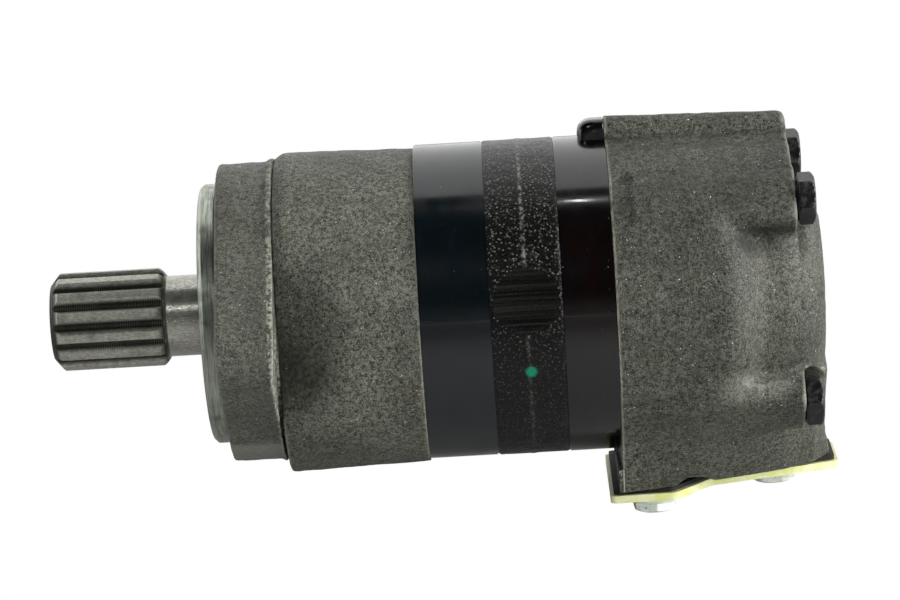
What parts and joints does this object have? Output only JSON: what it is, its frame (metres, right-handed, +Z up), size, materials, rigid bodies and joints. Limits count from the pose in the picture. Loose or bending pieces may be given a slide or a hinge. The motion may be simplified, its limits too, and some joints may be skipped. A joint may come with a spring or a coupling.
{
  "type": "hydraulic motor",
  "caption": "Orbital disc-valve hydraulic motor with an ear flange, splined output shaft, stacked body plates, long tie bolts and a covered port block.",
  "frame": {"origin": "centre of the output shaft's flat end face, on the shaft axis", "axes": "+X along the shaft axis from the shaft end towards the rear of the motor; +Y and -Y towards the mounting ears; +Z up, with the port face looking down to -Z"},
  "size_m": [0.2483, 0.13, 0.1257],
  "materials": {
    "cast_iron": "rough sand-cast surface under a thin dark rust preventive, machined on the pilot and faces",
    "navy_steel": "gloss blue-black oxide",
    "ring_iron": "rough black cast rim with one ground patch",
    "oxide_steel": "gloss brown-black oxide",
    "machined_steel": "turned and hobbed, lightly oiled",
    "ground_steel": "ground",
    "black_bolt": "black oxide",
    "zinc": "clear zinc plate",
    "yellow_zinc": "pale yellow-green plated sheet",
    "black_rubber": "matt",
    "seal_plastic": "matt",
    "spring_steel": "drawn wire"
  },
  "bodies": {
    "casing": {"mounting_flange": "cast_iron", "flange_screw_1": "black_bolt", "flange_screw_2": "black_bolt", "flange_screw_3": "black_bolt", "flange_screw_4": "black_bolt", "dust_seal": "black_rubber", "shaft_seal": "seal_plastic", "seal_backup_washer": "machined_steel", "bearing_housing": "cast_iron", "front_bearing_cup": "ground_steel", "rear_bearing_cup": "ground_steel", "wear_plate": "navy_steel", "rotor_ring": "ring_iron", "valve_plate": "oxide_steel", "valve_housing": "cast_iron", "balance_ring": "machined_steel", "balance_ring_outer_seal": "seal_plastic", "balance_ring_inner_seal": "seal_plastic", "balance_spring_1": "spring_steel", "balance_spring_2": "spring_steel", "balance_pin_1": "ground_steel", "balance_pin_2": "ground_steel", "drain_plug": "zinc", "drain_plug_seal": "black_rubber", "tie_bolt_1": "black_bolt", "tie_bolt_2": "black_bolt", "tie_bolt_3": "black_bolt", "tie_bolt_4": "black_bolt", "port_gasket": "black_rubber", "port_cover_plate": "yellow_zinc", "cover_screw_1": "zinc", "cover_screw_2": "zinc", "section_seal_1": "black_rubber", "section_seal_2": "black_rubber", "section_seal_3": "black_rubber", "section_seal_4": "black_rubber"},
    "shaft": {"output_shaft": "machined_steel", "front_bearing_cone": "ground_steel", "rear_bearing_cone": "ground_steel", "bearing_spacer": "machined_steel", "shaft_nut": "machined_steel"},
    "orbit": {"drive_spacer": "machined_steel"},
    "star": {"star_rotor": "ground_steel"},
    "main_drive_body": {"main_drive": "machined_steel"},
    "valve_drive_body": {"valve_drive": "machined_steel"},
    "valve": {"disc_valve": "ground_steel"},
    "front_cage": {"front_roller_cage": "machined_steel"},
    "rear_cage": {"rear_roller_cage": "machined_steel"},
    "roller_body_1": {"roller_1": "ground_steel"},
    "roller_body_2": {"roller_2": "ground_steel"},
    "roller_body_3": {"roller_3": "ground_steel"},
    "roller_body_4": {"roller_4": "ground_steel"},
    "roller_body_5": {"roller_5": "ground_steel"},
    "roller_body_6": {"roller_6": "ground_steel"},
    "roller_body_7": {"roller_7": "ground_steel"},
    "roller_body_8": {"roller_8": "ground_steel"},
    "roller_body_9": {"roller_9": "ground_steel"}
  },
  "joints": [
    {"name": "shaft_spin", "type": "hinge", "parent": "casing", "child": "shaft", "pos_m": [0, 0, 0], "axis": [1, 0, 0], "continuous": true},
    {"name": "star_orbit", "type": "hinge", "parent": "casing", "child": "orbit", "pos_m": [0, 0, 0], "axis": [1, 0, 0], "continuous": true},
    {"name": "star_spin", "type": "hinge", "parent": "orbit", "child": "star", "pos_m": [0.1505, 0.0025, 0], "axis": [1, 0, 0], "continuous": true},
    {"name": "main_drive_spin", "type": "hinge", "parent": "orbit", "child": "main_drive_body", "pos_m": [0.105, 0, 0], "axis": [0.9981, 0.0609, 0], "continuous": true},
    {"name": "valve_drive_spin", "type": "hinge", "parent": "orbit", "child": "valve_drive_body", "pos_m": [0.1577, 0.0025, 0], "axis": [0.9976, -0.0697, 0], "continuous": true},
    {"name": "valve_spin", "type": "hinge", "parent": "casing", "child": "valve", "pos_m": [0.1855, 0, 0], "axis": [1, 0, 0], "continuous": true},
    {"name": "front_cage_spin", "type": "hinge", "parent": "casing", "child": "front_cage", "pos_m": [0.0825, 0, 0], "axis": [1, 0, 0], "continuous": true},
    {"name": "rear_cage_spin", "type": "hinge", "parent": "casing", "child": "rear_cage", "pos_m": [0.1051, 0, 0], "axis": [1, 0, 0], "continuous": true},
    {"name": "roller_1_spin", "type": "hinge", "parent": "casing", "child": "roller_body_1", "pos_m": [0.1505, 0.031, 0], "axis": [1, 0, 0], "continuous": true},
    {"name": "roller_2_spin", "type": "hinge", "parent": "casing", "child": "roller_body_2", "pos_m": [0.1505, 0.02375, 0.01993], "axis": [1, 0, 0], "continuous": true},
    {"name": "roller_3_spin", "type": "hinge", "parent": "casing", "child": "roller_body_3", "pos_m": [0.1505, 0.00538, 0.03053], "axis": [1, 0, 0], "continuous": true},
    {"name": "roller_4_spin", "type": "hinge", "parent": "casing", "child": "roller_body_4", "pos_m": [0.1505, -0.0155, 0.02685], "axis": [1, 0, 0], "continuous": true},
    {"name": "roller_5_spin", "type": "hinge", "parent": "casing", "child": "roller_body_5", "pos_m": [0.1505, -0.02913, 0.0106], "axis": [1, 0, 0], "continuous": true},
    {"name": "roller_6_spin", "type": "hinge", "parent": "casing", "child": "roller_body_6", "pos_m": [0.1505, -0.02913, -0.0106], "axis": [1, 0, 0], "continuous": true},
    {"name": "roller_7_spin", "type": "hinge", "parent": "casing", "child": "roller_body_7", "pos_m": [0.1505, -0.0155, -0.02685], "axis": [1, 0, 0], "continuous": true},
    {"name": "roller_8_spin", "type": "hinge", "parent": "casing", "child": "roller_body_8", "pos_m": [0.1505, 0.00538, -0.03053], "axis": [1, 0, 0], "continuous": true},
    {"name": "roller_9_spin", "type": "hinge", "parent": "casing", "child": "roller_body_9", "pos_m": [0.1505, 0.02375, -0.01993], "axis": [1, 0, 0], "continuous": true}
  ],
  "couplings": [
    {"joint": "star_orbit", "follows": "shaft_spin", "ratio": -8},
    {"joint": "star_spin", "follows": "shaft_spin", "ratio": 9},
    {"joint": "main_drive_spin", "follows": "shaft_spin", "ratio": 9},
    {"joint": "valve_drive_spin", "follows": "shaft_spin", "ratio": 9},
    {"joint": "valve_spin", "follows": "shaft_spin", "ratio": 1},
    {"joint": "front_cage_spin", "follows": "shaft_spin", "ratio": 0.45},
    {"joint": "rear_cage_spin", "follows": "shaft_spin", "ratio": 0.46},
    {"joint": "roller_1_spin", "follows": "shaft_spin", "ratio": -4.66},
    {"joint": "roller_2_spin", "follows": "shaft_spin", "ratio": -4.66},
    {"joint": "roller_3_spin", "follows": "shaft_spin", "ratio": -4.66},
    {"joint": "roller_4_spin", "follows": "shaft_spin", "ratio": -4.66},
    {"joint": "roller_5_spin", "follows": "shaft_spin", "ratio": -4.66},
    {"joint": "roller_6_spin", "follows": "shaft_spin", "ratio": -4.66},
    {"joint": "roller_7_spin", "follows": "shaft_spin", "ratio": -4.66},
    {"joint": "roller_8_spin", "follows": "shaft_spin", "ratio": -4.66},
    {"joint": "roller_9_spin", "follows": "shaft_spin", "ratio": -4.66}
  ]
}
